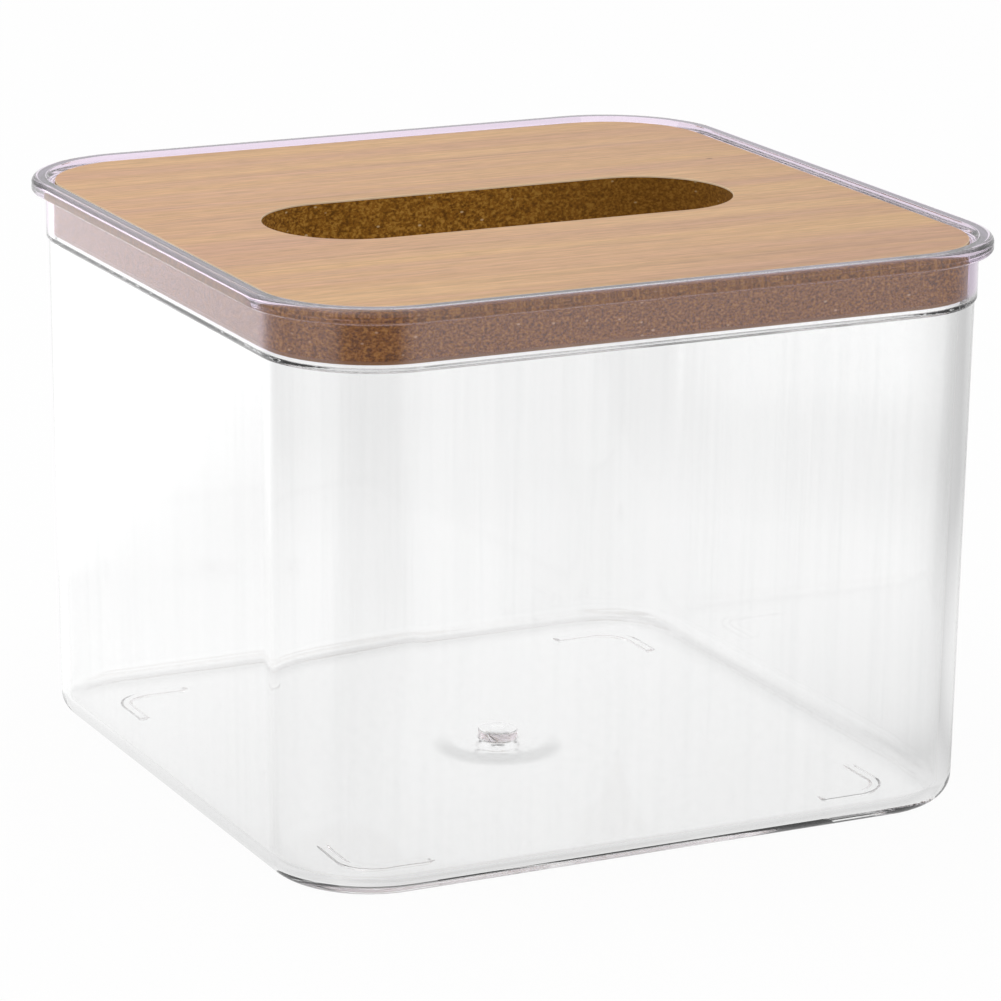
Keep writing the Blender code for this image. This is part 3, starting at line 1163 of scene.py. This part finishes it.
@dataclass(frozen=True)
class Studio:
    """A white table and surroundings, one soft lamp overhead, and an even light from all round."""

    surroundings: Surroundings = Surroundings()
    floor_half: float = 3.0
    floor_drop: float = 0.1 * MM
    floor_light: float = 0.8
    glow: float = 0.94
    sky: float = 0.60
    lamp_size: float = 1.6
    lamp_at: Triple = (-0.3, 0.2, 1.5)
    lamp_turn: Triple = (0.13, -0.2, 0.0)
    lamp_power: float = 10.0
    bounces: int = 44
    straight_passes: int = 32

    @staticmethod
    def by_ray(sheet: NodeSheet, straight: float, bent: object, light: float) -> Socket:
        """Picks a brightness by the kind of ray.

        Args:
            sheet: Node tree to build in.
            straight: Value for the camera's own rays.
            bent: Value for rays mirrored or sent on by the clear plastic.
            light: Value for rays that light matt surfaces.

        Returns:
            The picked value.
        """
        path = sheet.add("ShaderNodeLightPath")
        camera = path.outputs["Is Camera Ray"]
        mirrored = sheet.math("MAXIMUM", path.outputs["Is Glossy Ray"], path.outputs["Is Transmission Ray"])
        unseen = sheet.math("SUBTRACT", 1.0, sheet.math("MAXIMUM", camera, mirrored))
        lit = sheet.math("ADD", sheet.product(camera, straight), sheet.product(unseen, light))
        return sheet.math("ADD", lit, sheet.product(mirrored, bent))

    def build_floor(self) -> None:
        """A square sheet, near white to the eye, that still takes the object's shadow."""
        half, z = self.floor_half, -self.floor_drop
        corners = np.array([[-half, -half, z], [half, -half, z], [half, half, z], [-half, half, z]])
        floor = skin_object("table_top", corners, [[0, 1, 2, 3]])
        sheet = NodeSheet("table_top")
        shade = sheet.grey(self.by_ray(sheet, 1.0 - self.glow, 0.0, self.floor_light))
        seen = self.surroundings.on_table(sheet, sheet.place())
        matt = sheet.add("ShaderNodeBsdfDiffuse", Color=shade)
        glow = sheet.add("ShaderNodeEmission", Strength=self.by_ray(sheet, self.glow, seen, 0.0))
        both = sheet.add("ShaderNodeAddShader")
        sheet.feed(matt.outputs[0], both.inputs[0])
        sheet.feed(glow.outputs[0], both.inputs[1])
        floor.data.materials.append(sheet.finished(both))

    def build_world(self) -> None:
        """White to the eye, the soft lights in mirrored and bent sight, and an even light on surfaces."""
        world = bpy.data.worlds.new("surroundings")
        bpy.context.scene.world = world
        world.use_nodes = True
        sheet = NodeSheet.of_tree(world.node_tree)
        background = world.node_tree.nodes["Background"]
        background.inputs["Color"].default_value = (1.0, 1.0, 1.0, 1.0)
        way = sheet.add("ShaderNodeTexCoord").outputs["Generated"]
        bent = self.surroundings.by_bearing(sheet, way, self.surroundings.air)
        sheet.feed(self.by_ray(sheet, 1.0, bent, self.sky), background.inputs["Strength"])

    def build_lamp(self) -> None:
        """One large square lamp overhead, a little behind and to the left."""
        light = bpy.data.lights.new("soft_lamp", "AREA")
        light.shape = "SQUARE"
        light.size = self.lamp_size
        light.energy = self.lamp_power
        lamp = bpy.data.objects.new("soft_lamp", light)
        lamp.location = self.lamp_at
        lamp.rotation_euler = self.lamp_turn
        bpy.context.scene.collection.objects.link(lamp)

    def build(self) -> None:
        """Sets up floor, surroundings and lamp, and lets sight run on through the many thin walls."""
        self.build_floor()
        self.build_world()
        self.build_lamp()
        cycles = bpy.context.scene.cycles
        cycles.max_bounces = self.bounces
        cycles.glossy_bounces = self.bounces
        cycles.transmission_bounces = self.bounces
        cycles.transparent_max_bounces = self.straight_passes


@dataclass(frozen=True)
class PhotoView:
    """The photograph's camera, found from the outlines of the lip, board, slot and base."""

    yaw: float = math.radians(-26.311)
    pitch: float = math.radians(15.270)
    roll: float = math.radians(0.619)
    distance: float = 783.174 * MM
    aim_z: float = 47.733 * MM
    frame: float = 1001.0
    focal: float = 4638.665
    centre: Pair = (497.875, 482.476)
    sensor: float = 36.0
    clip: Pair = (0.01, 20.0)

    def build(self) -> None:
        """Looks at the object's middle from yaw and pitch, then rolls about the line of sight."""
        back = np.array(
            [
                math.sin(self.yaw) * math.cos(self.pitch),
                -math.cos(self.yaw) * math.cos(self.pitch),
                math.sin(self.pitch),
            ]
        )
        level = np.array([math.cos(self.yaw), math.sin(self.yaw), 0.0])
        upright = np.cross(back, level)
        right = level * math.cos(self.roll) + upright * math.sin(self.roll)
        up = upright * math.cos(self.roll) - level * math.sin(self.roll)
        data = bpy.data.cameras.new("photo_view")
        data.sensor_width = self.sensor
        data.lens = self.focal / self.frame * self.sensor
        data.shift_x = (self.frame / 2 - self.centre[0]) / self.frame
        data.shift_y = (self.centre[1] - self.frame / 2) / self.frame
        data.clip_start, data.clip_end = self.clip
        camera = bpy.data.objects.new("photo_view", data)
        bpy.context.scene.collection.objects.link(camera)
        matrix = np.eye(4)
        matrix[:3, :3] = np.stack([right, up, back], axis=1)
        matrix[:3, 3] = np.array([0.0, 0.0, self.aim_z]) + self.distance * back
        camera.matrix_world = Matrix(matrix.tolist())
        bpy.context.scene.camera = camera


def dress(piece: bpy.types.Object, finish: Finish, body: Body, node: str) -> None:
    """Gives a piece its finish and its place in the frame.

    Args:
        piece: The new piece.
        finish: Its finish.
        body: The body it moves with.
        node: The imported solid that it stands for.
    """
    piece.data.materials.append(finish.material())
    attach(piece, body.value)
    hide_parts(node)
    LOG.info("%s: %d faces, on %s, for %s", piece.name, len(piece.data.polygons), body.value, node)


def lid_layers() -> tuple[Layer, ...]:
    """The three layers of the board, each from its own solid's height up to the next one's.

    Returns:
        The layers, from the face down.
    """
    backing_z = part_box("lid_back_sheet")[0].z
    core_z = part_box("lid_board")[0].z
    face_low, face_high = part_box("lid_face_sheet")
    face = ("lid_wood_face", "lid_face_sheet", "wood_face", WoodFace())
    core = ("lid_core", "lid_board", "fibre_board", FibreBoard())
    backing = ("lid_backing", "lid_back_sheet", "backing_sheet", BackingSheet())
    return (
        Layer(*face, face_low.z, face_high.z, top_round=0.12 * MM, low_round=0.03 * MM),
        Layer(*core, core_z, face_low.z, top_round=0.1 * MM, low_round=0.1 * MM),
        Layer(*backing, backing_z, core_z, top_round=0.05 * MM, low_round=0.2 * MM),
    )


def main() -> None:
    """Builds the moulding, the board's layers, the studio and the camera, and logs each piece's face count.
    """
    logging.basicConfig(level=logging.INFO, format="%(name)s: %(message)s")
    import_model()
    for name in ("Cube", "Light", "Camera"):
        if name in bpy.data.objects:
            bpy.data.objects.remove(bpy.data.objects[name], do_unlink=True)
    bpy.context.scene.view_settings.view_transform = "Standard"
    PhotoView().build()
    box_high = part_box("clear_box")[1]
    layers = lid_layers()
    Moulding(reach=box_high.x, rim_z=box_high.z, board_z=layers[-1].bottom).build()
    LidBoard(half=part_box("lid_face_sheet")[1].x).build(layers)
    Studio().build()


if __name__ == "__main__":
    main()
